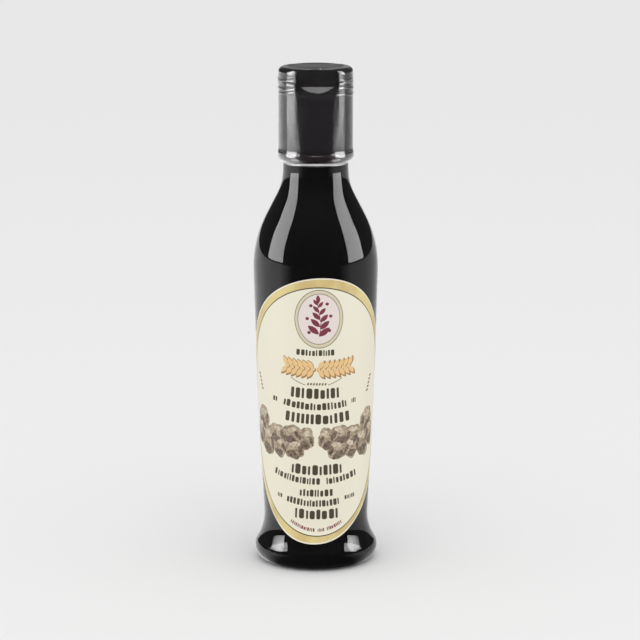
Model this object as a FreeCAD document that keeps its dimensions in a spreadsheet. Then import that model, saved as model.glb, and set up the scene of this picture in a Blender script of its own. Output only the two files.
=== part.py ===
"""Balsamic glaze squeeze bottle: a waisted clear bottle filled with dark glaze, shut by a snap-on
flip-top cap under a shrink seal, with one oval paper label wrapped round its side.

Millimetres, +Z up. The origin is the middle of the standing ring; the label and the cap's thumb
notch face -Y and the cap's hinge is at +Y."""

import FreeCAD, Part
import Sketcher
import os
from math import atan2, cos, hypot, pi, radians, sin, sqrt

DOCUMENT = FreeCAD.newDocument("glaze_bottle")

# ---------------------------------------------------------------- driving dimensions

DIMENSIONS = {
    # bottle, outside
    "foot_radius": 24.8,        # widest ring of the flared foot
    "foot_corner": 5.5,         # rounding from the side of the foot down to the standing ring
    "stand_width": 2.5,         # width of the flat standing ring
    "push_up": 4.0,             # rise of the dished base above the standing ring
    "waist_depth": 3.8,         # how far the waist is drawn in from the foot
    "waist_curve": 20.5,        # hollow arc between foot and side
    "side_bow": 3900.0,         # slight bulge of the long tapering side
    "body_radius": 25.0,        # widest ring, under the shoulder
    "shoulder_curve": 45.0,     # round arc of the shoulder
    "shoulder_slope": 27.5,     # steepest lean of the shoulder from upright, in degrees
    "throat_curve": 21.5,       # hollow arc from the shoulder into the neck
    "shoulder_top": 159.5,      # height at which the neck becomes upright
    "neck_radius": 13.1,
    "neck_length": 4.6,         # upright neck below the carrying ring
    "wall": 0.8,
    # bottle, finish under the cap
    "ring_width": 2.1,          # how far the carrying ring stands out from the neck
    "ring_height": 2.7,
    "ring_round": 0.7,
    "neck_step": 1.1,           # the finish is this much slimmer than the neck
    "finish_length": 19.0,      # from the carrying ring to the lip
    "finish_wall": 1.6,
    "mouth_cone": 3.0,          # length over which the thin neck wall thickens into the finish
    "bead_height": 7.0,         # middle of the snap bead above the carrying ring
    "bead_width": 0.8,          # how far the snap bead stands out
    "bead_length": 2.4,
    # glaze
    "fill_rise": 2.0,           # level of the glaze above the top of the shoulder, in the neck
    # flip-top cap
    "cap_gap": 0.3,             # between the carrying ring and the skirt
    "cap_height": 33.4,
    "cap_fit": 0.15,            # between the snap bead and the bore
    "cap_wall": 1.85,
    "cap_rib": 0.55,            # snap rib inside the skirt, under the bead
    "rib_length": 1.6,
    "skirt_round": 0.4,
    "edge_round": 2.0,          # rounding at the top of the lid's wall
    "lid_fall": 0.2,            # fall of the sloping shoulder round the lid's flat top
    "lid_shoulder": 1.5,        # width of that shoulder, inside the edge rounding
    "lid_height": 5.5,          # from the parting line to the lid's flat top
    "parting_gap": 0.45,
    "parting_depth": 3.2,
    "notch_depth": 2.6,         # how far the front is cut back flat for the thumb
    "notch_lip": 1.2,           # height of the flat below the parting line
    "ramp_drop": 4.2,           # height of the hollow ramp below the flat
    "ramp_curve": 7.0,          # hollow of the ramp
    "cap_turn": 3.0,            # the cap was screwed on a little round to the right, in degrees
    "hinge_angle": 58.0,        # share of the circle left uncut at the back, in degrees
    "hinge_height": 5.0,
    "hinge_sink": 0.45,         # depth of the recess round the living hinge
    "hinge_line": 0.5,          # half height of the V that makes the living hinge bend
    # shrink seal
    "film": 0.2,
    "film_gap": 0.05,
    "film_curl": 1.6,           # how far the seal runs on below the carrying ring
    # label
    "paper": 0.12,
    "label_width": 75.6,        # across the oval, laid flat
    "label_height": 108.8,
    "label_centre": 65.6,       # height of the oval's middle
    "label_turn": 2.1,          # the label was put on a little round to the right, in degrees
    "label_lean": 3.2,          # and leaning a little clockwise, in degrees
}

SHEET = DOCUMENT.addObject("Spreadsheet::Sheet", "sizes")
for row, (alias, size) in enumerate(DIMENSIONS.items(), 1):
    SHEET.set(f"A{row}", alias)
    SHEET.set(f"B{row}", str(size))
    SHEET.setAlias(f"B{row}", alias)
DOCUMENT.recompute()

# Sizes that follow from the driving ones, written as expressions on the sheet.
WAIST_R = "(sizes.foot_radius - sizes.waist_depth)"
STAND_R = "(sizes.foot_radius - sizes.foot_corner)"
RING_R = "(sizes.neck_radius + sizes.ring_width)"
FINISH_R = "(sizes.neck_radius - sizes.neck_step)"
MOUTH_R = f"({FINISH_R} - sizes.finish_wall)"
BEAD_R = f"({FINISH_R} + sizes.bead_width)"
BORE_R = f"({BEAD_R} + sizes.cap_fit)"
CAP_R = f"({BORE_R} + sizes.cap_wall)"
DISC_R = f"({CAP_R} - sizes.edge_round - sizes.lid_shoulder)"
NOTCH_Y = f"({CAP_R} - sizes.notch_depth)"
RING_BASE = "(sizes.shoulder_top + sizes.neck_length)"
RING_TOP = f"({RING_BASE} + sizes.ring_height)"
FINISH_TOP = f"({RING_TOP} + sizes.finish_length)"
BEAD_Z = f"({RING_TOP} + sizes.bead_height)"
CAP_BASE = f"({RING_TOP} + sizes.cap_gap)"
CAP_TOP = f"({CAP_BASE} + sizes.cap_height)"
LID_EDGE = f"({CAP_TOP} - sizes.lid_fall)"
PARTING = f"({CAP_TOP} - sizes.lid_height)"
FILL_LEVEL = "(sizes.shoulder_top + sizes.fill_rise)"

CLEAR = 2.0                     # how far a cutting outline runs on past what it cuts
SIDE_VIEW = "YZ_Plane"          # an outline is drawn from the axis towards the back
ORIGIN, X_AXIS, Z_AXIS = -1, -1, -2     # the sketcher's own numbers for its root point and axes
START, END, CENTRE = 1, 2, 3


# ---------------------------------------------------------------- sketches

def value(expression):
    """What an expression on the sheet comes to now."""
    return float(SHEET.evalExpression(expression.replace("sizes.", "")))


def polar(centre, radius, angle):
    return centre[0] + radius * cos(angle), centre[1] + radius * sin(angle)


class Outline:
    """A closed sketch on one of a body's own planes, drawn piece after piece."""

    def __init__(self, body, name, role):
        self.sketch = body.newObject("Sketcher::SketchObject", name)
        plane = next(p for p in body.Origin.OriginFeatures if p.Role == role)
        self.sketch.AttachmentSupport = [(plane, "")]
        self.sketch.MapMode = "FlatFace"
        self.pieces = []        # (piece number, the end it starts from, the end it stops at)

    def line(self, start, end):
        segment = Part.LineSegment(FreeCAD.Vector(*start, 0), FreeCAD.Vector(*end, 0))
        number = self.sketch.addGeometry(segment, False)
        self.pieces.append((number, START, END))
        return number

    def arc(self, centre, radius, first, last):
        """An arc from one angle to another; a falling angle runs clockwise."""
        circle = Part.Circle(FreeCAD.Vector(*centre, 0), FreeCAD.Vector(0, 0, 1), radius)
        segment = Part.ArcOfCircle(circle, min(first, last), max(first, last))
        number = self.sketch.addGeometry(segment, False)
        self.pieces.append((number, START, END) if last > first else (number, END, START))
        return number

    def join(self, smooth=()):
        """Close the pieces into a ring; the numbers in smooth run on without a corner."""
        for here, there in zip(self.pieces, self.pieces[1:] + self.pieces[:1]):
            kind = "Tangent" if here[0] in smooth else "Coincident"
            self.rule(kind, here[0], here[2], there[0], there[1])

    def rule(self, kind, *where):
        return self.sketch.addConstraint(Sketcher.Constraint(kind, *where))

    def hold(self, name, expression, kind, *where):
        """A dimension that follows an expression on the sheet."""
        size = value(expression)
        number = self.rule(kind, *where, radians(size) if kind == "Angle" else size)
        self.sketch.renameConstraint(number, name)
        self.sketch.setExpression(f"Constraints.{name}", expression)

    def hold_point(self, name, point, across, up):
        """Hold a point at its distance from the axis and its height; "0" is on the axis itself."""
        for letter, expression, kind, axis in (("x", across, "DistanceX", Z_AXIS),
                                               ("y", up, "DistanceY", X_AXIS)):
            if expression == "0":
                self.rule("PointOnObject", *point, axis)
            else:
                self.hold(f"{name}_{letter}", expression, kind, ORIGIN, START, *point)


def profile(body, name, role, corners):
    """An outline through corners (across, up), given as expressions. A third entry is the radius of
    the arc that leads to that corner: positive turns left on the way, negative turns right."""
    outline = Outline(body, name, role)
    places = [(value(corner[0]), value(corner[1])) for corner in corners]
    rounds = {}
    for number, corner in enumerate(corners):
        start, end = places[number - 1], places[number]
        if len(corner) == 2:
            outline.line(start, end)
            continue
        radius = value(corner[2])
        reach = hypot(end[0] - start[0], end[1] - start[1]) / 2
        rise = sqrt(max(radius * radius - reach * reach, 0.0)) * (1 if radius > 0 else -1)
        middle = ((start[0] + end[0]) / 2, (start[1] + end[1]) / 2)
        centre = (middle[0] - rise * (end[1] - start[1]) / (2 * reach),
                  middle[1] + rise * (end[0] - start[0]) / (2 * reach))
        first = atan2(start[1] - centre[1], start[0] - centre[0])
        last = atan2(end[1] - centre[1], end[0] - centre[0])
        while radius > 0 and last < first:
            last += 2 * pi
        while radius < 0 and last > first:
            first += 2 * pi
        rounds[number] = (outline.arc(centre, abs(radius), first, last), corner[2])
    outline.join()
    for number, corner in enumerate(corners):
        piece, _, stop = outline.pieces[number]
        outline.hold_point(f"corner_{number}", (piece, stop), corner[0], corner[1])
    for number, (piece, radius) in rounds.items():
        outline.hold(f"round_{number}", radius.lstrip("-"), "Radius", piece)
    return outline.sketch


def side_outline(body, name, inset, crown):
    """The bottle's side view from the dished base to the neck, moved in from the outside by the
    expression inset, then on through the corners of crown and back down the axis."""
    outline = Outline(body, name, SIDE_VIEW)
    moved = value(inset)
    foot_r, foot_arc = value("sizes.foot_radius"), value("sizes.foot_corner")
    waist_arc, bow_arc = value("sizes.waist_curve"), value("sizes.side_bow")
    shoulder_arc, throat_arc = value("sizes.shoulder_curve"), value("sizes.throat_curve")
    neck_r, lean = value("sizes.neck_radius"), radians(value("sizes.shoulder_slope"))
    top = value("sizes.shoulder_top")

    # Centres of the arcs, each of which runs on smoothly into the next.
    foot = (foot_r - foot_arc, foot_arc)
    both = foot_arc + waist_arc
    waist = (value(WAIST_R) + waist_arc,
             foot_arc + sqrt(both ** 2 - (both - value("sizes.waist_depth")) ** 2))
    body_r = value("sizes.body_radius")
    straight = (body_r - neck_r - (shoulder_arc + throat_arc) * (1 - cos(lean))) / sin(lean)
    shoulder = (body_r - shoulder_arc,
                top - (shoulder_arc + throat_arc) * sin(lean) - straight * cos(lean))
    throat = (neck_r + throat_arc, top)
    apart = (shoulder[0] - waist[0], shoulder[1] - waist[1])
    span = hypot(*apart)
    to_waist, to_shoulder = bow_arc + waist_arc, bow_arc - shoulder_arc
    along = (to_waist ** 2 - to_shoulder ** 2 + span ** 2) / (2 * span)
    across = sqrt(to_waist ** 2 - along ** 2)
    bow = (waist[0] + (along * apart[0] - across * apart[1]) / span,
           waist[1] + (along * apart[1] + across * apart[0]) / span)
    foot_end = atan2(waist[1] - foot[1], waist[0] - foot[0])
    bow_start = atan2(waist[1] - bow[1], waist[0] - bow[0])
    bow_end = atan2(shoulder[1] - bow[1], shoulder[0] - bow[0])

    stand_out = value(STAND_R)
    stand_in = stand_out - value("sizes.stand_width")
    rise = value("sizes.push_up")
    dish_r = (stand_in ** 2 + rise ** 2) / (2 * rise)
    dish = (0, moved + rise - dish_r)
    pieces = {
        "dish": outline.arc(dish, dish_r, pi / 2, atan2(dish_r - rise, stand_in)),
        "stand": outline.line((stand_in, moved), (stand_out, moved)),
        "foot": outline.arc(foot, foot_arc - moved, -pi / 2, foot_end),
        "waist": outline.arc(waist, waist_arc + moved, pi + foot_end, pi + bow_start),
        "bow": outline.arc(bow, bow_arc - moved, bow_start, bow_end),
        "shoulder": outline.arc(shoulder, shoulder_arc - moved, bow_end, lean),
        "slope": outline.line(polar(shoulder, shoulder_arc - moved, lean),
                              polar(throat, throat_arc + moved, pi + lean)),
        "throat": outline.arc(throat, throat_arc + moved, pi + lean, pi),
    }
    throat_end = outline.pieces[-1][2]
    last = (neck_r - moved, top)
    crown_pieces = []
    for corner in crown:
        place = (value(corner[0]), value(corner[1]))
        crown_pieces.append(outline.line(last, place))
        last = place
    axis = outline.line(last, (0, moved + rise))

    outline.join(smooth=[number for part, number in pieces.items() if part != "dish"])
    outline.hold("foot_arc", f"sizes.foot_corner - {inset}", "Radius", pieces["foot"])
    outline.hold("waist_arc", f"sizes.waist_curve + {inset}", "Radius", pieces["waist"])
    outline.hold("bow_arc", f"sizes.side_bow - {inset}", "Radius", pieces["bow"])
    outline.hold("shoulder_arc", f"sizes.shoulder_curve - {inset}", "Radius", pieces["shoulder"])
    outline.hold("throat_arc", f"sizes.throat_curve + {inset}", "Radius", pieces["throat"])
    outline.hold("lean", "90 + sizes.shoulder_slope", "Angle", pieces["slope"])
    outline.hold_point("stand_in", (pieces["stand"], START), f"{STAND_R} - sizes.stand_width",
                       "0" if inset == "0" else inset)
    outline.rule("Horizontal", pieces["stand"])
    for part, across in (("foot", STAND_R), ("waist", f"{WAIST_R} + sizes.waist_curve"),
                         ("shoulder", "sizes.body_radius - sizes.shoulder_curve")):
        outline.hold(f"{part}_centre", across, "DistanceX", ORIGIN, START, pieces[part], CENTRE)
    outline.hold("throat_top", "sizes.shoulder_top", "DistanceY", ORIGIN, START,
                 pieces["throat"], throat_end)
    outline.rule("Vertical", crown_pieces[0])
    for number, (piece, corner) in enumerate(zip(crown_pieces, crown)):
        outline.hold_point(f"crown_{number}", (piece, END), corner[0], corner[1])
    outline.hold_point("dish_top", (axis, END), "0", f"sizes.push_up + {inset}")
    outline.rule("PointOnObject", pieces["dish"], CENTRE, Z_AXIS)
    return outline.sketch


# ---------------------------------------------------------------- features

def new_body(name):
    body = DOCUMENT.addObject("PartDesign::Body", name)
    body.Label = name
    return body


def turn(body, name, sketch, kind="PartDesign::Revolution", angle=None):
    """Revolve a side view about the upright axis, or cut it away with a groove. An angle turns the
    outline that far, half to each side of its own plane."""
    feature = body.newObject(kind, name)
    feature.Profile = sketch
    feature.ReferenceAxis = (sketch, ["V_Axis"])
    feature.Angle = 360
    if angle:
        feature.Midplane = True
        feature.setExpression("Angle", angle)
    sketch.Visibility = False
    DOCUMENT.recompute()
    return feature


def cut_round(body, name, corners, angle=None):
    return turn(body, name, profile(body, f"{name}_outline", SIDE_VIEW, corners),
                "PartDesign::Groove", angle)


# ---------------------------------------------------------------- bottle

def cavity_crown():
    """Above the throat the bore narrows where the blown wall becomes the thick moulded finish."""
    return [("sizes.neck_radius - sizes.wall", RING_BASE),
            (MOUTH_R, f"{RING_BASE} + sizes.mouth_cone"),
            (MOUTH_R, f"{FINISH_TOP} + {CLEAR}"),
            ("0", f"{FINISH_TOP} + {CLEAR}")]


def make_bottle():
    """Clear bottle, blown from a moulded finish with a snap bead and a carrying ring."""
    body = new_body("bottle")
    turn(body, "form", side_outline(body, "form_outline", "0",
                                    [("sizes.neck_radius", FINISH_TOP), ("0", FINISH_TOP)]))
    round_r = "sizes.ring_round"
    turn(body, "ring", profile(body, "ring_outline", SIDE_VIEW, [
        (FINISH_R, RING_BASE),
        (f"{RING_R} - {round_r}", RING_BASE),
        (RING_R, f"{RING_BASE} + {round_r}", round_r),
        (RING_R, f"{RING_TOP} - {round_r}"),
        (f"{RING_R} - {round_r}", RING_TOP, round_r),
        (FINISH_R, RING_TOP),
    ]))
    outside = f"sizes.neck_radius + {CLEAR}"
    half_bead = "sizes.bead_length / 2"
    cut_round(body, "finish", [
        (outside, RING_TOP),
        (outside, f"{FINISH_TOP} + {CLEAR}"),
        (FINISH_R, f"{FINISH_TOP} + {CLEAR}"),
        (FINISH_R, f"{BEAD_Z} + {half_bead}"),
        (BEAD_R, BEAD_Z),
        (FINISH_R, f"{BEAD_Z} - {half_bead}"),
        (FINISH_R, RING_TOP),
    ])
    turn(body, "cavity", side_outline(body, "cavity_outline", "sizes.wall", cavity_crown()),
         "PartDesign::Groove")
    return body


def make_glaze():
    """The glaze fills the cavity, wall to wall, up to its level in the neck."""
    body = new_body("glaze")
    turn(body, "fill", side_outline(body, "fill_outline", "sizes.wall", cavity_crown()))
    above = f"{FINISH_TOP} + 2 * {CLEAR}"
    cut_round(body, "headspace", [
        ("0", FILL_LEVEL),
        ("sizes.body_radius", FILL_LEVEL),
        ("sizes.body_radius", above),
        ("0", above),
    ])
    return body


# ---------------------------------------------------------------- flip-top cap

def make_cap():
    """One moulding: a skirt that snaps over the finish, its deck seated on the lip, and a lid held
    by a living hinge. The front is cut back flat over a hollow thumb ramp."""
    body = new_body("flip_cap")
    turn(body, "moulding", profile(body, "moulding_outline", SIDE_VIEW, [
        (BORE_R, CAP_BASE),
        (f"{CAP_R} - sizes.skirt_round", CAP_BASE),
        (CAP_R, f"{CAP_BASE} + sizes.skirt_round", "sizes.skirt_round"),
        (CAP_R, f"{LID_EDGE} - sizes.edge_round"),
        (f"{CAP_R} - sizes.edge_round", LID_EDGE, "sizes.edge_round"),
        (DISC_R, CAP_TOP),
        ("0", CAP_TOP),
        ("0", FINISH_TOP),
        (BORE_R, FINISH_TOP),
    ]))

    rib_top = f"{BEAD_Z} - sizes.bead_length / 2"
    rib_base = f"{rib_top} - sizes.rib_length"
    turn(body, "snap_rib", profile(body, "snap_rib_outline", SIDE_VIEW, [
        (f"{BORE_R} + sizes.cap_rib", rib_base),
        (BORE_R, rib_base),
        (f"{BORE_R} - sizes.cap_rib", f"{rib_base} + sizes.rib_length / 2"),
        (BORE_R, rib_top),
        (f"{BORE_R} + sizes.cap_rib", rib_top),
    ]))

    half_gap = "sizes.parting_gap / 2"
    slot_in, slot_out = f"{CAP_R} - sizes.parting_depth", f"{CAP_R} + {CLEAR}"
    cut_round(body, "parting", [
        (f"-({slot_in})", f"{PARTING} - {half_gap}"),
        (f"-({slot_out})", f"{PARTING} - {half_gap}"),
        (f"-({slot_out})", f"{PARTING} + {half_gap}"),
        (f"-({slot_in})", f"{PARTING} + {half_gap}"),
    ], angle="360 - sizes.hinge_angle")

    cut_round(body, "hinge_recess", [
        (f"{CAP_R} - sizes.hinge_sink", f"{PARTING} - sizes.hinge_height / 2"),
        (slot_out, f"{PARTING} - sizes.hinge_height / 2"),
        (slot_out, f"{PARTING} + sizes.hinge_height / 2"),
        (f"{CAP_R} - sizes.hinge_sink", f"{PARTING} + sizes.hinge_height / 2"),
    ], angle="sizes.hinge_angle / 2")
    cut_round(body, "hinge_line", [
        (f"{CAP_R} - sizes.hinge_sink - sizes.hinge_line", PARTING),
        (f"{CAP_R} - sizes.hinge_sink + {half_gap}", f"{PARTING} - sizes.hinge_line"),
        (f"{CAP_R} - sizes.hinge_sink + {half_gap}", f"{PARTING} + sizes.hinge_line"),
    ], angle="sizes.hinge_angle")

    # Thumb notch: the lid and the top of the skirt are cut back flat, over a hollow ramp.
    flat, ramp_top = f"-{NOTCH_Y}", f"{PARTING} - sizes.notch_lip"
    notch = profile(body, "notch_outline", SIDE_VIEW, [
        (flat, f"{CAP_TOP} + {CLEAR}"),
        (flat, ramp_top),
        (f"-{CAP_R}", f"{ramp_top} - sizes.ramp_drop", "-sizes.ramp_curve"),
        (f"-({slot_out})", f"{ramp_top} - sizes.ramp_drop"),
        (f"-({slot_out})", f"{CAP_TOP} + {CLEAR}"),
    ])
    pocket = body.newObject("PartDesign::Pocket", "notch")
    pocket.Profile = notch
    pocket.Midplane = True
    pocket.setExpression("Length", f"2 * {CAP_R}")
    notch.Visibility = False
    body.setExpression("Placement.Rotation.Angle", "sizes.cap_turn")
    DOCUMENT.recompute()
    return body


# ---------------------------------------------------------------- shrink seal

def seal_side(clear):
    """The way down the cap, over the carrying ring and in to the neck, clear of both by a given
    distance."""
    return [
        (f"{DISC_R} - {clear}", f"{CAP_TOP} + {clear}"),
        (DISC_R, f"{CAP_TOP} + {clear}"),
        (f"{CAP_R} - sizes.edge_round", f"{LID_EDGE} + {clear}"),
        (f"{CAP_R} + {clear}", f"{LID_EDGE} - sizes.edge_round", f"-(sizes.edge_round + {clear})"),
        (f"{CAP_R} + {clear}", f"{CAP_BASE} + sizes.ring_height / 2"),
        (f"{RING_R} + {clear}", RING_TOP),
        (f"{RING_R} + {clear}", f"{RING_BASE} + sizes.ring_round"),
        (f"{RING_R} - sizes.ring_round + {clear}", f"{RING_BASE} - {clear}"),
        (f"sizes.neck_radius + {clear}", f"{RING_BASE} - sizes.film_curl"),
    ]


def backwards(corners):
    """The same way walked from its last corner to its first, so that each arc bends the other way."""
    way = []
    for number, corner in enumerate(corners):
        bend = corners[number + 1][2:] if number + 1 < len(corners) else ()
        turned = tuple(radius[1:] if radius.startswith("-") else f"-{radius}" for radius in bend)
        way.insert(0, corner[:2] + turned)
    return way


def make_seal():
    """Clear film shrunk over the cap, from the edge of its flat top to just below the ring."""
    body = new_body("shrink_band")
    inside = seal_side("sizes.film_gap")
    outside = seal_side("(sizes.film_gap + sizes.film)")
    turn(body, "sleeve", profile(body, "sleeve_outline", SIDE_VIEW, backwards(inside) + outside))
    return body


# ---------------------------------------------------------------- label

def oval_die():
    """Solid between two radii whose outline, unrolled, is the label's oval."""
    inner, outer = value(WAIST_R) / 2, value("sizes.body_radius") + value("sizes.foot_radius")
    middle_r = (value(WAIST_R) + value("sizes.body_radius")) / 2
    half_angle = value("sizes.label_width") / 2 / middle_r
    half_height, centre = value("sizes.label_height") / 2, value("sizes.label_centre")
    drum = Part.Cylinder()
    drum.Radius = inner
    flat = FreeCAD.Base.Vector2d
    oval = Part.Geom2d.Ellipse2d(flat(pi, centre + half_height), flat(pi + half_angle, centre),
                                 flat(pi, centre))
    patch = Part.Face(drum, Part.Wire([oval.toShape(drum)]))
    patch.validate()
    shape = patch.makeOffsetShape(outer - inner, 0.01, fill=True)
    middle = FreeCAD.Vector(0, 0, centre)
    quarter = 90        # the drum's own seam is at the back once the patch has been turned forward
    shape.rotate(middle, FreeCAD.Vector(0, 0, 1), quarter + value("sizes.label_turn"))
    shape.rotate(middle, FreeCAD.Vector(0, 1, 0), value("sizes.label_lean"))
    die = DOCUMENT.addObject("Part::Feature", "label_die")
    die.Shape = shape
    return die


def make_label():
    """Paper that follows the bottle's side, punched out by the oval die."""
    forms = []
    for name, inset in (("label_face", "-sizes.paper"), ("label_back", "0")):
        form = new_body(name)
        crown = [(f"sizes.neck_radius - ({inset})", RING_BASE), ("0", RING_BASE)]
        turn(form, f"{name}_form", side_outline(form, f"{name}_outline", f"({inset})", crown))
        forms.append(form)
    sheet = DOCUMENT.addObject("Part::Cut", "label_sheet")
    sheet.Base, sheet.Tool = forms
    label = DOCUMENT.addObject("Part::Common", "label")
    label.Base, label.Tool = sheet, oval_die()
    DOCUMENT.recompute()
    return label


# ---------------------------------------------------------------- build and write

NODES = {
    "bottle": make_bottle(),
    "glaze": make_glaze(),
    "flip_cap": make_cap(),
    "shrink_band": make_seal(),
    "label": make_label(),
}
DOCUMENT.recompute()

for item in DOCUMENT.Objects:
    if {"Invalid", "Error"} & set(item.State):
        raise RuntimeError(f"{item.Label} did not build: {item.State}")
for name, node in NODES.items():
    if node.Shape.isNull() or not node.Shape.isValid() or len(node.Shape.Solids) != 1:
        raise RuntimeError(f"{name} is not one valid solid")

os.makedirs("parts", exist_ok=True)
for name, node in NODES.items():
    node.Shape.exportStep(os.path.join("parts", f"{name}.step"))
    box = node.Shape.optimalBoundingBox()
    print(f"{name}: {node.Shape.Volume / 1000:.2f} cm3, z {box.ZMin:.2f} to {box.ZMax:.2f}, "
          f"{box.XLength:.2f} by {box.YLength:.2f}")
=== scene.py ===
"""Balsamic glaze squeeze bottle: clear waisted bottle, dark glaze, black flip-top cap under a clear
shrink seal, and one oval paper label. Pieces are drawn in millimetres, +Z up, front towards -Y, and
written out in metres."""

from math import atan2, ceil, cos, exp, hypot, pi, radians, sin, sqrt, tan
from random import Random

import bmesh
import bpy
from mathutils import Matrix, Vector


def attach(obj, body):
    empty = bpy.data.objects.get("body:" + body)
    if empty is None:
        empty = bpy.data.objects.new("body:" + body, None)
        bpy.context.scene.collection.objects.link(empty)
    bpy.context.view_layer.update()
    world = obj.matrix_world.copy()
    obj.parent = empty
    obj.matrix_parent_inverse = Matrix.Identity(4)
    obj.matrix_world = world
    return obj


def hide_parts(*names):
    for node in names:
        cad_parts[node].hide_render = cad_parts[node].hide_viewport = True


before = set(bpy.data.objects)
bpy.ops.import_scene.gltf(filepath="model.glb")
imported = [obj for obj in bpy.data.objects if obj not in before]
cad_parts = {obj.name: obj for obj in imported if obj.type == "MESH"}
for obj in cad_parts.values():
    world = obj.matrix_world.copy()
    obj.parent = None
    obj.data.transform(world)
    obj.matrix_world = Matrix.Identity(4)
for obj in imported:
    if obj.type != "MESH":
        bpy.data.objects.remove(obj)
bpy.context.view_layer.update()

# ---------------------------------------------------------------- bottle
# Squeeze bottle of clear plastic, blown in one piece from a moulded finish with a carrying ring and
# a snap bead. Its side is a chain of arcs, each running smoothly into the next, turned once round.

MM = 0.001
TURNS = 144                 # flats round a turned piece
STEP_TURN = 3               # an arc's steps turn by no more than about this many degrees,
STEP_RUN = 8                # and run no further than about this
WELD = 0.002                # points nearer than this become one
WALL = 0.8
PUSH_UP = 4.0
STAND_EDGE = 16.8           # inner edge of the flat ring that the bottle stands on
STAND = 2.5                 # and its width
DISH, DISH_TURN = 37.28, -26.787            # each arc's radius, and the degrees that it turns
FOOT_ROUND, FOOT_TURN = 5.5, 121.3675
WAIST_HOLLOW, WAIST_TURN = 20.5, -34.3825
SIDE_BOW, SIDE_TURN = 3900.0, 1.4561
SHOULDER_ROUND, SHOULDER_TURN = 45.0, 29.0589
SLOPE = 9.4992              # straight run between the shoulder and the throat
THROAT_HOLLOW, THROAT_TURN = 21.5, -27.5
NECK = 13.1
RING = 15.2
RING_BASE = 164.1
RING_TOP = 166.8
FINISH = 12.0
MOUTH = 10.4
MOUTH_BASE = 167.1          # the bore has narrowed to the mouth from here up
BEAD = 12.8
BEAD_HEIGHT = 173.8
BEAD_HALF = 1.2
LIP = 185.8


def start(form, across, up):
    """First point of a side line, which is drawn in the upright plane y = 0."""
    return bmesh.ops.create_vert(form, co=(across, 0, up))["vert"][0]


def line_to(form, tip, *places):
    """Straight runs on from the last point through each place (across, up)."""
    for across, up in places:
        tip = bmesh.ops.extrude_vert_indiv(form, verts=[tip])["verts"][0]
        tip.co = across, 0, up
    return tip


def arcs_to(form, tip, heading, arcs):
    """Arcs (radius, degrees) on from the last point, each tangent to the one before. Positive
    degrees turn left. A lone number is a straight run of that length."""
    for arc in arcs:
        ahead = Vector((cos(radians(heading)), 0, sin(radians(heading))))
        if isinstance(arc, float):
            place = tip.co + arc * ahead
            tip = line_to(form, tip, (place.x, place.z))
            continue
        radius, turn = arc
        side = Vector((-ahead.z, 0, ahead.x)) * (1 if turn > 0 else -1)
        steps = max(3, round(abs(turn) / STEP_TURN),
                    round(radius * radians(abs(turn)) / STEP_RUN))
        spun = bmesh.ops.spin(form, geom=[tip], cent=tip.co + radius * side, axis=(0, -1, 0),
                              angle=radians(turn), steps=steps)
        tip = next(item for item in spun["geom_last"] if isinstance(item, bmesh.types.BMVert))
        heading += turn
    return tip


def bottle_side(form, inset):
    """The bottle's side line, moved in by the inset, from the middle of its base to its neck."""
    tip = start(form, 0, PUSH_UP + inset)
    tip = arcs_to(form, tip, 0, [(DISH, DISH_TURN)])
    return arcs_to(form, tip, 0, [STAND, (FOOT_ROUND - inset, FOOT_TURN),
                                  (WAIST_HOLLOW + inset, WAIST_TURN),
                                  (SIDE_BOW - inset, SIDE_TURN),
                                  (SHOULDER_ROUND - inset, SHOULDER_TURN), SLOPE,
                                  (THROAT_HOLLOW + inset, THROAT_TURN)])


def round_corners(form, size, *places):
    """Round the side line's corners at these places."""
    corners = [vert for vert in form.verts
               if any(hypot(vert.co.x - across, vert.co.z - up) < 0.01 for across, up in places)]
    bmesh.ops.bevel(form, geom=corners, offset=size, segments=4, profile=0.5, affect="VERTICES",
                    material=-1)


def turn_round(form, sides=TURNS):
    """Turn the side line once round the upright axis and close its poles."""
    bmesh.ops.spin(form, geom=form.verts[:] + form.edges[:], cent=(0, 0, 0), axis=(0, 0, 1),
                   angle=2 * pi, steps=sides, use_merge=True)
    bmesh.ops.remove_doubles(form, verts=form.verts, dist=WELD)
    bmesh.ops.recalc_face_normals(form, faces=form.faces)


def finished(name, form, finishes, crease=35):
    """The piece made from a form, in its finishes, smooth but for edges past the crease angle."""
    bmesh.ops.scale(form, vec=(MM, MM, MM), verts=form.verts)
    mesh = bpy.data.meshes.new(name)
    form.to_mesh(mesh)
    form.free()
    for coat in finishes:
        mesh.materials.append(coat)
    mesh.shade_smooth()
    mesh.set_sharp_from_angle(angle=radians(crease))
    piece = bpy.data.objects.new(name, mesh)
    bpy.context.scene.collection.objects.link(piece)
    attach(piece, "root")
    return piece


def finish(name, **sockets):
    """A material whose shader takes these plain values."""
    made = bpy.data.materials.new(name)
    made.use_nodes = True
    shader = made.node_tree.nodes["Principled BSDF"]
    for socket, level in sockets.items():
        shader.inputs[socket.replace("_", " ")].default_value = level
    return made


def node(made, kind, inputs=None, **settings):
    """Add a node to a material, set it up, and feed its inputs from values or other outputs."""
    tree = made.node_tree
    added = tree.nodes.new(kind)
    for setting, level in settings.items():
        setattr(added, setting, level)
    for socket, source in (inputs or {}).items():
        if isinstance(source, bpy.types.NodeSocket):
            tree.links.new(source, added.inputs[socket])
        else:
            added.inputs[socket].default_value = source
    return added


def feed(made, socket, source):
    """Feed one of a material's shader sockets from another node's output."""
    made.node_tree.links.new(source, made.node_tree.nodes["Principled BSDF"].inputs[socket])


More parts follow.
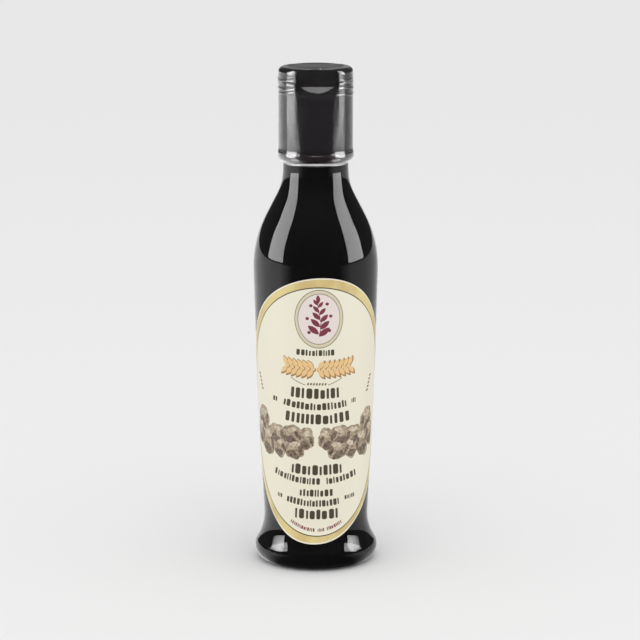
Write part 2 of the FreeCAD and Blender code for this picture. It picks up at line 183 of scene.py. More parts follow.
def surface_grain(made, scale, depth, stretch=(1, 1, 1)):
    """Fine unevenness from noise over the piece's own coordinates, as bump."""
    place = node(made, "ShaderNodeTexCoord").outputs["Object"]
    spread = node(made, "ShaderNodeMapping", {"Vector": place, "Scale": stretch}).outputs["Vector"]
    grain = node(made, "ShaderNodeTexNoise", {"Vector": spread, "Scale": scale, "Detail": 3.0})
    bump = node(made, "ShaderNodeBump", {"Height": grain.outputs["Fac"], "Distance": depth * MM,
                                         "Strength": 1.0})
    feed(made, "Normal", bump.outputs["Normal"])


form = bmesh.new()
outside = bottle_side(form, 0)
outside = line_to(form, outside, (NECK, RING_BASE), (RING, RING_BASE), (RING, RING_TOP),
                  (FINISH, RING_TOP), (FINISH, BEAD_HEIGHT - BEAD_HALF), (BEAD, BEAD_HEIGHT),
                  (FINISH, BEAD_HEIGHT + BEAD_HALF), (FINISH, LIP), (MOUTH, LIP))
inside = bottle_side(form, WALL)
inside = line_to(form, inside, (NECK - WALL, RING_BASE), (MOUTH, MOUTH_BASE))
bmesh.ops.contextual_create(form, geom=[outside, inside])
round_corners(form, 0.7, (RING, RING_BASE), (RING, RING_TOP))
round_corners(form, 0.4, (NECK, RING_BASE), (FINISH, LIP), (MOUTH, LIP), (BEAD, BEAD_HEIGHT),
              (STAND_EDGE, 0), (MOUTH, MOUTH_BASE))
turn_round(form)

clear_plastic = finish("clear_plastic", Base_Color=(1, 1, 1, 1), Roughness=0.03, IOR=1.5,
                       Transmission_Weight=1.0)
surface_grain(clear_plastic, 120, 0.004)
bottle = finished("bottle_wall", form, [clear_plastic])
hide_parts("bottle")

# ---------------------------------------------------------------- glaze
# Thick, near-black balsamic glaze, poured in to the neck. It wets the wall, so its skin lies just
# inside the plastic, and its level curls up where it meets the neck. Above it a smear is left.

WETTING = 0.1
LEVEL = 161.5
CURL = 0.5                  # the level climbs the wall by this much,
CURL_WIDTH = 1.6            # from this far in
CURL_BEND = (0.5, 0.12)     # its bend, in from the wall and up from the level
SMEAR = 0.3                 # glaze smeared on the bore above the level
SMEAR_END = 0.2             # its thickness at the top
SMEAR_BASE = 163.7
SMEAR_TOP = 182.8

form = bmesh.new()
tip = bottle_side(form, WALL - WETTING)
rim = tip.co.x
bend = rim - CURL_BEND[0], LEVEL + CURL_BEND[1]
line_to(form, tip, (rim, LEVEL + CURL), bend, (rim - CURL_WIDTH, LEVEL), (0, LEVEL))
round_corners(form, 0.35, bend)
turn_round(form)
for face in form.faces:
    if face.calc_center_median().z > LEVEL - 0.05 and face.normal.z > 0.1:
        face.material_index = 1

glaze_body = finish("dark_glaze", Base_Color=(0.0028, 0.0020, 0.0024, 1), Roughness=0.6,
                    Specular_IOR_Level=0.05)
glaze_level = finish("glaze_level", Base_Color=(0.006, 0.0025, 0.0025, 1), Roughness=0.12)
surface_grain(glaze_level, 60, 0.05)
glaze = finished("glaze_fill", form, [glaze_body, glaze_level])
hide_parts("glaze")

form = bmesh.new()
bore, mouth = NECK - WALL + WETTING, MOUTH + WETTING
tip = start(form, bore - SMEAR, SMEAR_BASE)
line_to(form, tip, (bore, SMEAR_BASE), (mouth, MOUTH_BASE), (mouth, SMEAR_TOP),
        (mouth - SMEAR_END, SMEAR_TOP), (mouth - SMEAR, MOUTH_BASE), (bore - SMEAR, SMEAR_BASE))
turn_round(form)
glaze_smear = finish("glaze_smear", Base_Color=(0.10, 0.03, 0.045, 1), Roughness=0.2,
                     Transmission_Weight=0.6)
surface_grain(glaze_smear, 250, 0.05, stretch=(1, 1, 0.3))
finished("glaze_smear", form, [glaze_smear])

# ---------------------------------------------------------------- flip-top cap
# One moulding of glossy black plastic: a skirt that snaps over the finish, and a lid on a living
# hinge, set back at the front over a hollow ramp for the thumb.

PARTING = 195.0             # the groove where the lid meets the skirt
PARTING_DEPTH = 0.3
GROOVE_FLOOR = 0.1          # half the height of its floor,
GROOVE_MOUTH = 0.3          # and of its mouth
SKIN = 12.0                 # the groove is cut outside this distance from the axis
LID_EDGE = 200.3
NOTCH = 12.2                # the flat notch face's distance from the axis
BROW_FALL = 2.5             # the notch's upper edge lies within this of the lid's edge
BROW_CREASE = radians(25)
BROW_ROUND = 0.35
CAP_TURN = radians(3.0)

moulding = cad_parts["flip_cap"]
form = bmesh.new()
form.from_mesh(moulding.data)
bmesh.ops.transform(form, matrix=Matrix.Scale(1 / MM, 4) @ moulding.matrix_world, verts=form.verts)
bmesh.ops.remove_doubles(form, verts=form.verts, dist=WELD)
bmesh.ops.recalc_face_normals(form, faces=form.faces)
bmesh.ops.rotate(form, cent=(0, 0, 0), matrix=Matrix.Rotation(-CAP_TURN, 3, "Z"), verts=form.verts)
brow = [edge for edge in form.edges if edge.calc_face_angle(0) > BROW_CREASE and
        all(abs(vert.co.y + NOTCH) < 0.02 and vert.co.z > LID_EDGE - BROW_FALL
            for vert in edge.verts)]
bmesh.ops.bevel(form, geom=brow, offset=BROW_ROUND, segments=3, profile=0.5, affect="EDGES",
                material=-1)
for rise in (-GROOVE_MOUTH, -GROOVE_FLOOR, GROOVE_FLOOR, GROOVE_MOUTH):
    bmesh.ops.bisect_plane(form, geom=form.verts[:] + form.edges[:] + form.faces[:], dist=0.001,
                           plane_co=(0, 0, PARTING + rise), plane_no=(0, 0, 1))
for vert in form.verts:
    reach = hypot(vert.co.x, vert.co.y)
    if abs(vert.co.z - PARTING) < GROOVE_FLOOR + 0.05 and reach > SKIN:
        share = 1 - PARTING_DEPTH / reach
        vert.co = vert.co.x * share, vert.co.y * share, vert.co.z
bmesh.ops.rotate(form, cent=(0, 0, 0), matrix=Matrix.Rotation(CAP_TURN, 3, "Z"), verts=form.verts)
black_plastic = finish("black_plastic", Base_Color=(0.012, 0.010, 0.012, 1), Roughness=0.22)
surface_grain(black_plastic, 900, 0.004)
cap = finished("cap_moulding", form, [black_plastic], crease=30)
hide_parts("flip_cap")

# ---------------------------------------------------------------- shrink seal
# A sleeve of clear film, shrunk over the cap and the carrying ring. It stretches flat across the
# thumb notch, creases beside the parting line, and ends in a curl on the neck.

FILM = 0.06
EASE = 0.1                  # air between film and cap
CAP = 14.8
CAP_BASE = 167.1
CAP_TOP = 200.5
DISC = 11.3
EDGE_ROUND = 2.0
NOTCH_FOOT = 193.8
NOTCH_HALF = 7.2            # half the width of the ramp
RAMP_FOOT = 189.6
CURL_END = (NECK + 0.15, RING_BASE - 1.6)       # places on the sleeve's side, from its curl up
UNDER_RING = (RING - 0.45, RING_BASE - 0.15)
RING_LOW = (RING + 0.2, RING_BASE + 0.75)
RING_HIGH = (RING + 0.2, RING_TOP - 0.1)
SKIRT_LOW = (CAP + EASE, CAP_BASE + 1.2)
SLACK = 0.6                 # how far the sleeve stands off the cap's front, at most,
SLACK_BASE = CAP_BASE + 1.1                     # from this height up to the ramp's foot
SLACK_LEFT = (radians(36), radians(18))         # turns from the front where the slack ends, and
SLACK_RIGHT = (radians(37), radians(26))        # where it is full
FOLD = 0.50                 # how soft the sleeve's fold round the notch is
CREASES = ((190.6, 0.8, 0.20, 0.35), (192.6, -0.6, 0.28, 0.35), (194.3, 0.4, 0.25, 0.30),
           (195.7, 0.3, 0.28, 0.35))    # height, wander, how far out, half width
CREASE_START = 0.45         # turn from the front at which the creases begin to rise,
CREASE_EASE = 0.2           # and the turn that they take to do it
EDGE_TURN = 87.0            # the sleeve still slopes a little where it runs on over the lid
TAUT_LOW = CAP_BASE + 0.6   # it is stretched taut below this height,
TAUT_HIGH = LID_EDGE - EDGE_ROUND               # and above this one
SEAL_TURNS = 240
SPACING = 0.27              # between the rows of small faces that the creases need,
LID_SPACING = 0.1           # and between those on the lid


def stretched_flat(vert):
    """Pull a point of the sleeve in to the notch's flat face, and straight down across its ramp."""
    turned = Matrix.Rotation(-CAP_TURN, 3, "Z") @ vert.co
    share = min(max((vert.co.z - RAMP_FOOT) / (NOTCH_FOOT - RAMP_FOOT), 0), 1)
    front = -(CAP + (NOTCH - CAP) * share + EASE + FILM)
    if vert.co.z > RAMP_FOOT:
        ahead = turned.y - front
        turned.y = front + (ahead + hypot(ahead, FOLD)) / 2
    vert.co = Matrix.Rotation(CAP_TURN, 3, "Z") @ turned


def crease_height(angle, low, wander):
    """How high a crease runs at this turn from the front."""
    return low + wander * sin(2.3 * angle + low) + 0.2 * sin(9 * angle + 3 * low)


def slackened(vert):
    """Let the sleeve stand off the cap's front towards the ring, and crease beside the parting."""
    angle, height = atan2(vert.co.x, -vert.co.y), vert.co.z
    reach = hypot(vert.co.x, vert.co.y)
    outer, fold = SLACK_LEFT if angle < 0 else SLACK_RIGHT
    bow = min(max((outer - abs(angle)) / (outer - fold), 0), abs(angle) / fold, 1)
    fall = min(max((RAMP_FOOT - height) / (RAMP_FOOT - SLACK_BASE), 0), 1)
    off = SLACK * bow * fall if height > SLACK_BASE else 0.0
    beside = min(max((abs(angle) - CREASE_START) / CREASE_EASE, 0), 1)
    for low, wander, tall, wide in CREASES:
        off += beside * tall * exp(-((height - crease_height(angle, low, wander)) / wide) ** 2)
    share = 1 + off / reach
    vert.co = vert.co.x * share, vert.co.y * share, height


form = bmesh.new()
tip = start(form, *CURL_END)
tip = line_to(form, tip, UNDER_RING, RING_LOW, RING_HIGH, SKIRT_LOW, (CAP + EASE, TAUT_HIGH))
tip = arcs_to(form, tip, 90, [(EDGE_ROUND + EASE, EDGE_TURN)])
line_to(form, tip, (DISC - 0.1, CAP_TOP + 0.08))
round_corners(form, 0.4, RING_LOW, RING_HIGH, SKIRT_LOW, UNDER_RING)
for run in [edge for edge in form.edges if edge.calc_length() > 1]:
    spacing = LID_SPACING if min(vert.co.z for vert in run.verts) > LID_EDGE else SPACING
    bmesh.ops.subdivide_edges(form, edges=[run], cuts=int(run.calc_length() / spacing))
turn_round(form, SEAL_TURNS)
outward = sum(face.normal.dot(face.calc_center_median() * Vector((1, 1, 0)))
              for face in form.faces)
if outward < 0:
    bmesh.ops.reverse_faces(form, faces=form.faces)
for vert in form.verts:
    slackened(vert)
    stretched_flat(vert)
bmesh.ops.solidify(form, geom=form.faces[:], thickness=FILM)
for face in form.faces:
    middle = face.calc_center_median()
    angle, height = atan2(middle.x, -middle.y), middle.z
    notched = RAMP_FOOT < height < NOTCH_FOOT and abs(middle.x) < NOTCH_HALF
    creased = abs(angle) > CREASE_START + 0.05 and any(
        abs(height - crease_height(angle, low, wander)) < wide
        for low, wander, tall, wide in CREASES)
    if height > TAUT_HIGH or height < TAUT_LOW or notched or creased:
        face.material_index = 1

# The film on the left stands further off the cap. Its IOR also falls from left to right across the
# cap, which paints a stronger sheen on the left than on the right.
loose_film = finish("loose_film", Base_Color=(1, 1, 1, 1), Roughness=0.12,
                    Transmission_Weight=1.0)
place = node(loose_film, "ShaderNodeTexCoord").outputs["Object"]
across = node(loose_film, "ShaderNodeSeparateXYZ", {"Vector": place}).outputs["X"]
painted_sheen_ior = node(loose_film, "ShaderNodeMapRange",
             {"Value": across, "From Min": -6 * MM, "From Max": 6 * MM, "To Min": 1.19,
              "To Max": 1.12}).outputs["Result"]
feed(loose_film, "IOR", painted_sheen_ior)
surface_grain(loose_film, 900, 0.03, stretch=(1, 1, 0.3))
taut_film = finish("taut_film", Base_Color=(1, 1, 1, 1), Roughness=0.03, IOR=1.5,
                   Transmission_Weight=1.0)
seal = finished("seal_film", form, [loose_film, taut_film], crease=60)
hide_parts("shrink_band")

# ---------------------------------------------------------------- label
# One oval of cream paper, glued round the front of the bottle a little to the right. It was cut
# leaning against its print, so the gold edge runs uneven. All of it is drawn flat, then wrapped.

PAPER = 0.05
PAPER_WIDTH = 75.6
PAPER_HEIGHT = 108.8
LABEL_ROUND = 23.0          # radius at which the flat label's width is measured
PAPER_LEAN = radians(3.2)
PRINT_LEAN = radians(0.6)
LABEL_TURN = radians(2.0)
LABEL_MIDDLE = 65.0
PAPER_UP = 0.6
LABEL_LOWEST = 10.0         # the label's foot stays above this height
LABEL_SIDES = 256
FLAT = 0.9                  # longest step across a print that still hugs the bottle
INK = 0.012                 # each print lies this much above the one under it
WAIST_MIDDLE = (41.5, 19.0337)              # middles of the arcs of the bottle's side,
BOW_MIDDLE = (-3873.573, 225.243)
SHOULDER_MIDDLE = (-20.0, 120.368)
WAIST_END = 20.112                          # and the heights where one arc meets the next
BOW_END = 119.146
MARGIN = 1.0                # of plain paper, both sides added up
GOLD_INNER = 0.88           # the gold band's inner edge, as a share of its outer one
FIELD = (70.4, 102.2)
FIELD_UP = 0.2
FIELD_LINE_INNER = 0.992


def side_radius(height):
    """Distance from the axis to the bottle's side at a height between its foot and its slope."""
    if height < WAIST_END:
        return WAIST_MIDDLE[0] - sqrt(WAIST_HOLLOW ** 2 - (height - WAIST_MIDDLE[1]) ** 2)
    if height < BOW_END:
        return BOW_MIDDLE[0] + sqrt(SIDE_BOW ** 2 - (height - BOW_MIDDLE[1]) ** 2)
    return SHOULDER_MIDDLE[0] + sqrt(SHOULDER_ROUND ** 2 - (height - SHOULDER_MIDDLE[1]) ** 2)


def wrap(form, lift, lean):
    """Wrap what is drawn flat in x and y round the bottle, lifted off its side."""
    for vert in form.verts:
        angle = vert.co.x / LABEL_ROUND + LABEL_TURN
        radius = side_radius(max(LABEL_MIDDLE + vert.co.y, LABEL_LOWEST))
        across, front = radius * sin(angle), radius * cos(angle)
        height = LABEL_MIDDLE + vert.co.y * cos(lean) - across * sin(lean)
        angle = atan2(across * cos(lean) + vert.co.y * sin(lean), front)
        radius = side_radius(height) + lift
        vert.co = radius * sin(angle), -radius * cos(angle), height


def oval(form, width, height, place=(0, 0), tilt=0.0, sides=24, inner=0.0):
    """The points of a flat oval, or of a band if it has an inner share, in rings of small faces."""
    before = set(form.verts)
    rings = max(1, ceil((1 - inner) * max(width, height) / 2 / FLAT))
    line = [bmesh.ops.create_vert(form, co=(inner, 0, 0))["vert"][0]]
    for ring in range(rings):
        tip = bmesh.ops.extrude_vert_indiv(form, verts=[line[-1]])["verts"][0]
        tip.co = inner + (1 - inner) * (ring + 1) / rings, 0, 0
        line.append(tip)
    edges = list({edge for vert in line for edge in vert.link_edges})
    bmesh.ops.spin(form, geom=line + edges, cent=(0, 0, 0), axis=(0, 0, 1), angle=2 * pi,
                   steps=sides, use_merge=True)
    drawn = [vert for vert in form.verts if vert not in before]
    bmesh.ops.scale(form, vec=(width / 2, height / 2, 1), verts=drawn)
    bmesh.ops.rotate(form, cent=(0, 0, 0), matrix=Matrix.Rotation(tilt, 3, "Z"), verts=drawn)
    bmesh.ops.translate(form, vec=(*place, 0), verts=drawn)
    return drawn


def facing_up(form):
    """Turn a flat form's faces all upwards, so that they face out once it is wrapped."""
    bmesh.ops.remove_doubles(form, verts=form.verts, dist=0.001)
    bmesh.ops.recalc_face_normals(form, faces=form.faces)
    down = [face for face in form.faces if face.normal.z < 0]
    bmesh.ops.reverse_faces(form, faces=down)


def printed(name, form, inks, layer):
    """A print: its flat form wrapped onto the paper, in its layer of ink."""
    facing_up(form)
    wrap(form, PAPER + layer * INK, PRINT_LEAN)
    return finished(name, form, inks)


form = bmesh.new()
oval(form, PAPER_WIDTH, PAPER_HEIGHT, (0, PAPER_UP), sides=LABEL_SIDES)
facing_up(form)
wrap(form, PAPER, PAPER_LEAN)
bmesh.ops.solidify(form, geom=form.faces[:], thickness=PAPER)
cream_paper = finish("cream_paper", Base_Color=(0.86, 0.82, 0.665, 1), Roughness=0.5)
label = finished("label_paper", form, [cream_paper])
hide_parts("label")


def two_tone(ink, scale, detail, tones, low, high):
    """Colour an ink in clouds of two tones, mixed where the noise is between low and high."""
    place = node(ink, "ShaderNodeTexCoord").outputs["Object"]
    cloud = node(ink, "ShaderNodeTexNoise", {"Vector": place, "Scale": scale, "Detail": detail})
    share = node(ink, "ShaderNodeMapRange", {"Value": cloud.outputs["Fac"], "From Min": low,
                                             "From Max": high})
    shade = node(ink, "ShaderNodeMix", {"Factor": share.outputs["Result"], "A": tones[0],
                                        "B": tones[1]}, data_type="RGBA")
    feed(ink, "Base Color", shade.outputs["Result"])


gold_ink = finish("gold_ink", Roughness=0.4)
two_tone(gold_ink, 90.0, 2.0, ((0.66, 0.49, 0.21, 1), (0.76, 0.64, 0.28, 1)), 0.4, 0.62)
form = bmesh.new()
oval(form, PAPER_WIDTH - MARGIN, PAPER_HEIGHT - MARGIN, (0, PAPER_UP), sides=LABEL_SIDES,
     inner=GOLD_INNER)
facing_up(form)
wrap(form, PAPER + INK, PAPER_LEAN)
finished("gold_edge", form, [gold_ink])

form = bmesh.new()
oval(form, *FIELD, (0, FIELD_UP), sides=LABEL_SIDES)
printed("cream_field", form, [cream_paper], 2)

brown_ink = finish("brown_ink", Base_Color=(0.085, 0.068, 0.038, 1), Roughness=0.5)
form = bmesh.new()
oval(form, *FIELD, (0, FIELD_UP), sides=LABEL_SIDES, inner=FIELD_LINE_INNER)
printed("field_line", form, [brown_ink], 3)

# ---------------------------------------------------------------- label's medallion
# An oval frame printed in pale tan between two thin lines, round a sprig with berries on a pale
# rose ground. Its inks lie on the field in three layers.

MEDALLION = (0.1, 38.5)
FRAME_SIZE = (18.4, 23.6)
FRAME_SIDES = 64
FRAME_INNER = 0.86
GROUND_SHARE = (0.9, 0.92)  # of the frame's size
LINE_SHARES = (1, 0.87)
LINE_INNER = 0.975
STEM_FOOT = 7.0             # below the medallion's middle
STEM_STEP = 2.9
BERRY = 1.3
BERRIES = ((-3.7, -5.4), (3.9, -4.6), (-4.4, 0.2), (4.3, 1.2), (-3.1, 5.4), (2.9, 6.1))

tan_ink = finish("tan_ink", Base_Color=(0.70, 0.62, 0.46, 1), Roughness=0.45)
rose_ink = finish("rose_ink", Base_Color=(0.82, 0.72, 0.68, 1), Roughness=0.45)
line_ink = finish("line_ink", Base_Color=(0.24, 0.19, 0.11, 1), Roughness=0.5)
wine_ink = finish("wine_ink", Base_Color=(0.24, 0.030, 0.060, 1), Roughness=0.5)

form = bmesh.new()
oval(form, FRAME_SIZE[0] * GROUND_SHARE[0], FRAME_SIZE[1] * GROUND_SHARE[1], MEDALLION,
     sides=FRAME_SIDES)
printed("medallion_ground", form, [rose_ink], 3)
form = bmesh.new()
oval(form, *FRAME_SIZE, MEDALLION, sides=FRAME_SIDES, inner=FRAME_INNER)
printed("medallion_frame", form, [tan_ink], 4)
form = bmesh.new()
for share in LINE_SHARES:
    oval(form, FRAME_SIZE[0] * share, FRAME_SIZE[1] * share, MEDALLION, sides=FRAME_SIDES,
         inner=LINE_INNER)
printed("medallion_lines", form, [line_ink], 5)


def leaf(form, length, width, root, tilt):
    """A pointed leaf that grows from its root along its tilt."""
    drawn = oval(form, length, width)
    for vert in drawn:
        vert.co.y *= sqrt(max(0, 1 - (2 * vert.co.x / length) ** 2))
        vert.co.x += length / 2
    bmesh.ops.rotate(form, cent=(0, 0, 0), matrix=Matrix.Rotation(tilt, 3, "Z"), verts=drawn)
    bmesh.ops.translate(form, vec=(*root, 0), verts=drawn)


form = bmesh.new()
for step in range(5):
    stem = MEDALLION[0] + 0.5 * sin(step), MEDALLION[1] - STEM_FOOT + STEM_STEP * step
    leaf(form, 3.6, 0.35, stem, radians(90 - 14 * cos(step)))
    reach = 5.4 - 0.6 * step
    leaf(form, reach, reach * 0.42, stem, radians(42 + 3 * step))
    leaf(form, reach, reach * 0.42, (stem[0], stem[1] + 0.9), radians(140 - 3 * step))
leaf(form, 3.4, 1.5, (MEDALLION[0] - 0.3, MEDALLION[1] + 6.3), radians(95))
for across, up in BERRIES:
    oval(form, BERRY, BERRY, (MEDALLION[0] + across, MEDALLION[1] + up), sides=16)
printed("medallion_sprig", form, [wine_ink], 4)

# ---------------------------------------------------------------- label's garland
# A printed garland of golden leaves with a darker shade, in a shallow curve where a title would
# stand, over two curved rows of thin strokes and a row of dots.

GARLAND_UP = 18.2
GARLAND_HALF = 14.6
GARLAND_SAG = 1.4
GARLAND_STEPS = 6           # pairs of leaves on each side of the middle one
GARLAND_LEAF = (4.3, 1.9)
LEAF_SPREAD = radians(58)
BUD = 1.7
STROKE = (1.15, 0.34)
STROKES_START = 4.9         # from the middle
STROKES_STEP = 0.95
STROKES_UP = 11.1
STROKES_HALF = 10.0
STROKES_SAG = 3.3
DOT = (0.75, 1.2)
DOTS_STEP = 1.12
DOTS_UP = 12.1

shade_ink = finish("shade_ink", Base_Color=(0.40, 0.22, 0.075, 1), Roughness=0.45)
bright_ink = finish("bright_ink", Base_Color=(0.86, 0.58, 0.27, 1), Roughness=0.4)


def hung(across, half, sag):
    """How much higher than its middle a hanging curve is at this place, and its slope there."""
    return sag * (across / half) ** 2, atan2(2 * sag * across, half ** 2)


for name, ink, layer, fall, grow in (("garland_shade", shade_ink, 3, 0.28, 1.08),
                                     ("garland_gold", bright_ink, 4, 0.0, 0.92)):
    form = bmesh.new()
    for step in range(-GARLAND_STEPS, GARLAND_STEPS + 1):
        across = step * GARLAND_HALF / (1.2 * GARLAND_STEPS)
        rise, slope = hung(across, GARLAND_HALF, GARLAND_SAG)
        outward, turned = (0, 1) if step >= 0 else (pi, -1)
        root = across + fall, GARLAND_UP + rise - fall
        for side in (-1, 1):
            leaf(form, GARLAND_LEAF[0] * grow, GARLAND_LEAF[1] * grow, root,
                 outward + slope + side * turned * LEAF_SPREAD)
        oval(form, BUD * grow, BUD * grow, root, sides=16)
    printed(name, form, [ink], layer)

form = bmesh.new()
for side in (-1, 1):
    for step in range(6):
        across = side * (STROKES_START + STROKES_STEP * step)
        rise, slope = hung(across, STROKES_HALF, STROKES_SAG)
        oval(form, *STROKE, (across - 0.6, STROKES_UP + rise), slope, sides=12)
for step in range(-3, 4):
    oval(form, *DOT, (step * DOTS_STEP - 0.5, DOTS_UP), radians(-20), sides=12)
printed("garland_strokes", form, [line_ink], 3)

# ---------------------------------------------------------------- label's words
# Rows of plain printed blocks stand where words would be: brown rows that hang in shallow curves, a
# small wine-red row along the foot of the field, and a few marks up each side.

BROWN_ROWS = (              # from here, to here, up from the middle, block height, sag, half width
    (-8.4, 7.0, 24.8, 2.4, 0.25, 8), (-10.7, 9.0, 8.2, 4.2, 0.4, 10),
    (-14.0, 12.5, 2.9, 2.9, 1.5, 14), (-19.4, -16.8, 3.9, 1.9, 1.0, 19),
    (14.2, 16.6, 4.0, 1.9, 1.0, 19), (-13.2, 13.4, -2.3, 4.1, 1.0, 13.5),
    (-10.8, 10.5, -23.3, 4.2, 0.6, 11), (-19.4, 1.4, -28.0, 2.7, 2.9, 19),
    (4.0, 18.4, -28.0, 2.7, 2.9, 19), (-7.3, 7.2, -32.9, 2.9, 0.2, 7),
    (-13.4, 10.8, -37.2, 2.7, 1.3, 13), (-18.4, -15.9, -36.2, 1.7, 1.4, 19),
    (12.5, 17.6, -36.0, 1.7, 1.4, 19), (-9.5, 9.4, -41.8, 4.1, 0.3, 9.5))
WINE_ROWS = ((-11.6, -0.8, -48.3, 1.4, 3.2, 11.5), (0.6, 3.4, -48.3, 1.4, 3.2, 11.5),
             (4.6, 11.6, -48.3, 1.4, 3.2, 11.5))
SIDE_MARK = (1.5, 0.8)
MARKS_START = (27.2, 13.2)  # across from the middle, and up
MARKS_STEP = (0.55, 1.45)
MARKS_SHIFT = 1.6           # both columns stand this much to the left

word_ink = finish("word_ink", Base_Color=(0.080, 0.066, 0.038, 1), Roughness=0.5)
pace = Random(11)


def block(form, place, width, height, tilt):
    """One rounded block of a row."""
    across, up = max(1, ceil(width / FLAT)), max(1, ceil(height / FLAT))
    lay = (Matrix.Translation((*place, 0)) @ Matrix.Rotation(tilt, 4, "Z") @
           Matrix.Diagonal((width, height, 1, 1)))
    drawn = bmesh.ops.create_grid(form, x_segments=across, y_segments=up, size=0.5, matrix=lay)
    corners = [vert for vert in drawn["verts"] if len(vert.link_faces) == 1]
    bmesh.ops.bevel(form, geom=corners, offset=min(width, height) * 0.3, segments=2, profile=0.5,
                    affect="VERTICES", material=-1)


def words(form, first, last, up, height, sag, half):
    """A row of blocks of uneven widths from one place across to another, hung in a curve."""
    across = first
    while across < last - 0.2 * height:
        width = min(height * pace.choice((0.22, 0.30, 0.42, 0.55)), last - across)
        rise, slope = hung(across + width / 2, half, sag)
        tall = height * pace.choice((0.86, 1.0, 1.0))
        block(form, (across + width / 2, up + rise + (tall - height) / 2), width, tall, slope)
        across += width + height * pace.choice((0.16, 0.22))


for name, ink, rows in (("words_brown", word_ink, BROWN_ROWS), ("words_wine", wine_ink, WINE_ROWS)):
    form = bmesh.new()
    for row in rows:
        words(form, *row)
    printed(name, form, [ink], 3)

form = bmesh.new()
for side in (-1, 1):
    for step in range(5):
        across = side * (MARKS_START[0] - MARKS_STEP[0] * step) - MARKS_SHIFT
        block(form, (across, MARKS_START[1] - MARKS_STEP[1] * step), *SIDE_MARK, side * 0.35)
printed("side_marks", form, [line_ink], 3)

# ---------------------------------------------------------------- label's truffles
# Two printed heaps of lumpy truffles, one the other's mirror, in greys and browns: a middle tone,
# then shadows and lights laid over it.

HEAP = (                    # place, width, height, tilt
    ((24.5, -4.2), 9.5, 9.0, 0.4), ((27.0, -10.5), 7.0, 11.0, 0.1),
    ((21.5, -13.4), 9.5, 12.0, 0.3), ((16.2, -9.4), 9.0, 8.0, 0.2),
    ((15.0, -14.8), 7.0, 8.5, 0.0), ((9.8, -9.0), 9.0, 8.0, -0.2),
    ((8.6, -15.0), 8.5, 8.5, 0.2), ((3.9, -10.6), 6.5, 9.5, 0.1))
LEFT_REACH = 1.08           # the left heap spreads a little wider

truffle_ink = finish("truffle_ink", Roughness=0.5)
shadow_ink = finish("truffle_shadow", Roughness=0.5)
light_ink = finish("truffle_light", Roughness=0.5)
for ink, tones in ((truffle_ink, ((0.26, 0.19, 0.125, 1), (0.54, 0.44, 0.31, 1))),
                   (shadow_ink, ((0.10, 0.068, 0.045, 1), (0.27, 0.20, 0.14, 1))),
                   (light_ink, ((0.46, 0.37, 0.26, 1), (0.72, 0.62, 0.47, 1)))):
    two_tone(ink, 900.0, 3.0, tones, 0.38, 0.62)

lumps = Random(5)


def lump(form, place, width, height, tilt):
    """One uneven round of a heap."""
    drawn = oval(form, width, height, place, tilt, sides=28)
    phase, ripple = lumps.uniform(0, 6), lumps.uniform(0.05, 0.10)
    for vert in drawn:
        away = Vector((vert.co.x - place[0], vert.co.y - place[1], 0))
        turn = atan2(away.y, away.x)
        swell = 1 + ripple * sin(3 * turn + phase) + 0.05 * sin(7 * turn + 2 * phase)
        vert.co = Vector((*place, 0)) + away * swell


for name, ink, layer in (("truffles", truffle_ink, 3), ("truffle_shadows", shadow_ink, 4),
                         ("truffle_lights", light_ink, 5)):
    form = bmesh.new()
    for side in (-1, 1):
        lumps.seed(5)
        for (across, up), width, height, tilt in HEAP:
            place = side * across * (LEFT_REACH if side < 0 else 1.0) - 0.3, up
            if ink is truffle_ink:
                lump(form, place, width, height, side * tilt)
            if ink is shadow_ink:
                lump(form, (place[0] + side * 0.6, up - height * 0.27), width * 0.66, height * 0.34,
                     side * (tilt + 0.3))
                lump(form, (place[0] - side * width * 0.30, up - 0.2), width * 0.20, height * 0.5,
                     side * (tilt - 0.4))
            if ink is light_ink:
                lump(form, (place[0] - side * 0.4, up + height * 0.24), width * 0.5, height * 0.26,
                     side * (tilt - 0.3))
    printed(name, form, [ink], layer)

# ---------------------------------------------------------------- floor, light and camera
# A pale floor in a plain studio. Where gloss shows it, the floor turns black and glows instead: a
# painted reflection that is dim in front, bright behind and weaker to the right. Two upright soft
# panels stand by the bottle's sides, two small ones shine on its foot and one on the cap's brow,
# and these show only in gloss. One more hangs overhead and lights the label.

FLOOR_REACH = 8.0           # metres, as all lengths in this section
SIDE_BEARING = radians(78)  # of the side and foot panels, from the front
SIDE_NEAR = 0.28
SIDE_SPREAD = radians(35)   # seen from the bottle
SIDE_LOW = 0.127
SIDE_HIGH = 0.50
LEFT_LEVEL = 5.9
RIGHT_LEVEL = 5.6
FOOT_NEAR = 0.12
FOOT_UP = 0.05
FOOT_AIM = 0.002            # the height on the bottle's axis that the foot panels face
AIM = Vector((0.0017, 0, 0.0982))           # where the camera looks
VIEW_TILT = radians(11.5)
VIEW_DISTANCE = 1.1
LENS = 154

form = bmesh.new()
bmesh.ops.create_circle(form, cap_ends=True, radius=FLOOR_REACH, segments=96)
mesh = bpy.data.meshes.new("floor")
form.to_mesh(mesh)
form.free()
floor = bpy.data.objects.new("floor", mesh)
bpy.context.scene.collection.objects.link(floor)
floor_paint = finish("floor_paint", Roughness=0.9, Specular_IOR_Level=0.0,
                     Emission_Color=(1, 1, 1, 1))


def seen_in_gloss(made):
    """1 for light on a path that a glossy surface has mirrored, else 0, and the path's facts."""
    ray = node(made, "ShaderNodeLightPath").outputs
    return node(made, "ShaderNodeMath", {0: ray["Glossy Depth"], 1: 0.5},
                operation="GREATER_THAN").outputs[0], ray
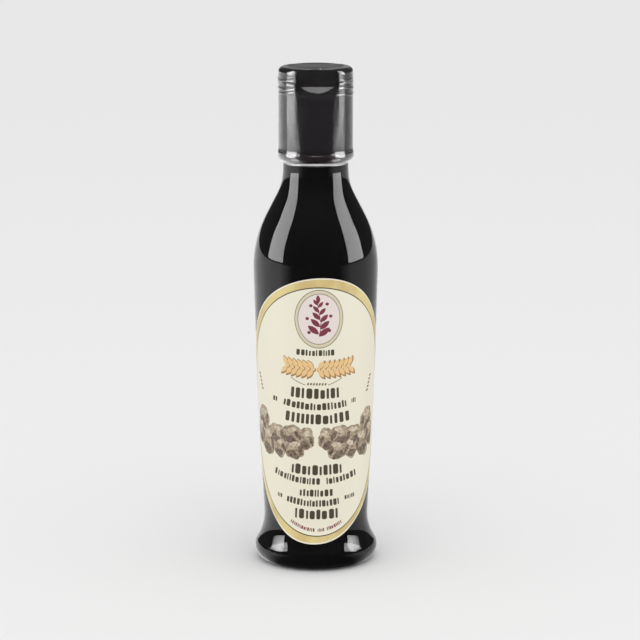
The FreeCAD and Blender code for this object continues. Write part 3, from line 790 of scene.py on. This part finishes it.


# Painted reflection: in gloss the floor glows, dim in front, bright behind and weaker to the right.
mirrored, ray = seen_in_gloss(floor_paint)
place = node(floor_paint, "ShaderNodeTexCoord").outputs["Object"]
bearing = node(floor_paint, "ShaderNodeVectorMath", {0: place}, operation="NORMALIZE").outputs[0]
bearing = node(floor_paint, "ShaderNodeSeparateXYZ", {"Vector": bearing}).outputs
backward = node(floor_paint, "ShaderNodeMapRange",
                {"Value": bearing["Y"], "From Min": -0.72, "From Max": -0.36, "To Min": 0.08,
                 "To Max": 1.1}).outputs["Result"]
rightward = node(floor_paint, "ShaderNodeMapRange",
                 {"Value": bearing["X"], "From Min": 0.1, "From Max": 0.8, "To Min": 1.0,
                  "To Max": 0.6}).outputs["Result"]
glow = mirrored
for dimming in (backward, rightward):
    glow = node(floor_paint, "ShaderNodeMath", {0: glow, 1: dimming},
                operation="MULTIPLY").outputs[0]
paint = node(floor_paint, "ShaderNodeMix", {"Factor": mirrored, "A": (0.8, 0.8, 0.8, 1),
                                            "B": (0, 0, 0, 1)}, data_type="RGBA").outputs["Result"]
feed(floor_paint, "Emission Strength", glow)
feed(floor_paint, "Base Color", paint)
floor_paint.cycles.emission_sampling = "NONE"
mesh.materials.append(floor_paint)


def hang(name, size, place, aim, level, spread=pi, lights=False):
    """A soft panel (across, up) at a place, turned to its aim, at an even level. It shows in gloss
    alone unless it lights the object too."""
    lamp = bpy.data.lights.new(name, "AREA")
    lamp.shape = "RECTANGLE"
    lamp.size, lamp.size_y = size
    lamp.spread = spread
    lamp.energy = level * pi * lamp.size * lamp.size_y
    panel = bpy.data.objects.new(name, lamp)
    panel.location = place
    panel.rotation_euler = (Vector(aim) - panel.location).to_track_quat("-Z", "Y").to_euler()
    panel.visible_camera = False
    panel.visible_diffuse = lights
    bpy.context.scene.collection.objects.link(panel)


def by_side(side, near, up):
    """A place near one side of the bottle, -1 for its left and 1 for its right."""
    return side * near * sin(SIDE_BEARING), -near * cos(SIDE_BEARING), up


side_size = 2 * SIDE_NEAR * tan(SIDE_SPREAD / 2), SIDE_HIGH - SIDE_LOW
side_middle = (SIDE_LOW + SIDE_HIGH) / 2
for name, side, level in (("left_panel", -1, LEFT_LEVEL), ("right_panel", 1, RIGHT_LEVEL)):
    hang(name, side_size, by_side(side, SIDE_NEAR, side_middle), (0, 0, side_middle), level)
for name, side in (("left_foot_panel", -1), ("right_foot_panel", 1)):
    hang(name, (0.06, 0.04), by_side(side, FOOT_NEAR, FOOT_UP), (0, 0, FOOT_AIM), 0.7,
         spread=radians(50))
hang("overhead_panel", (0.8, 0.3), (0, -0.5, 1.1), (0, 0, 0.19), 2.0, lights=True)
hang("brow_panel", (0.3, 0.34), (0, -0.196, 1.048), (0, 0, 0.2), 24.0)

world = bpy.data.worlds.new("studio")
world.use_nodes = True
world.cycles.sampling_method = "NONE"
bpy.context.scene.world = world
mirrored, ray = seen_in_gloss(world)
toward = node(world, "ShaderNodeTexCoord").outputs["Generated"]
behind = node(world, "ShaderNodeSeparateXYZ", {"Vector": toward}).outputs["Y"]
dim = node(world, "ShaderNodeMapRange", {"Value": behind, "From Min": 0.9, "From Max": 0.99,
                                         "To Min": 0.06, "To Max": 0.3}).outputs["Result"]
plain = node(world, "ShaderNodeMapRange", {"Value": ray["Is Diffuse Ray"], "To Min": 0.80,
                                           "To Max": 1.0}).outputs["Result"]
level = node(world, "ShaderNodeMix", {"Factor": mirrored, "A": plain, "B": dim}).outputs[0]
air = world.node_tree.nodes["Background"]
air.inputs["Color"].default_value = 1, 1, 1, 1
world.node_tree.links.new(level, air.inputs["Strength"])

camera = bpy.data.objects.new("camera", bpy.data.cameras.new("camera"))
camera.data.lens = LENS
camera.location = AIM + VIEW_DISTANCE * Vector((0, -cos(VIEW_TILT), sin(VIEW_TILT)))
camera.rotation_euler = (pi / 2 - VIEW_TILT, 0, 0)
bpy.context.scene.collection.objects.link(camera)
bpy.context.scene.camera = camera
bpy.context.scene.view_settings.view_transform = "Standard"
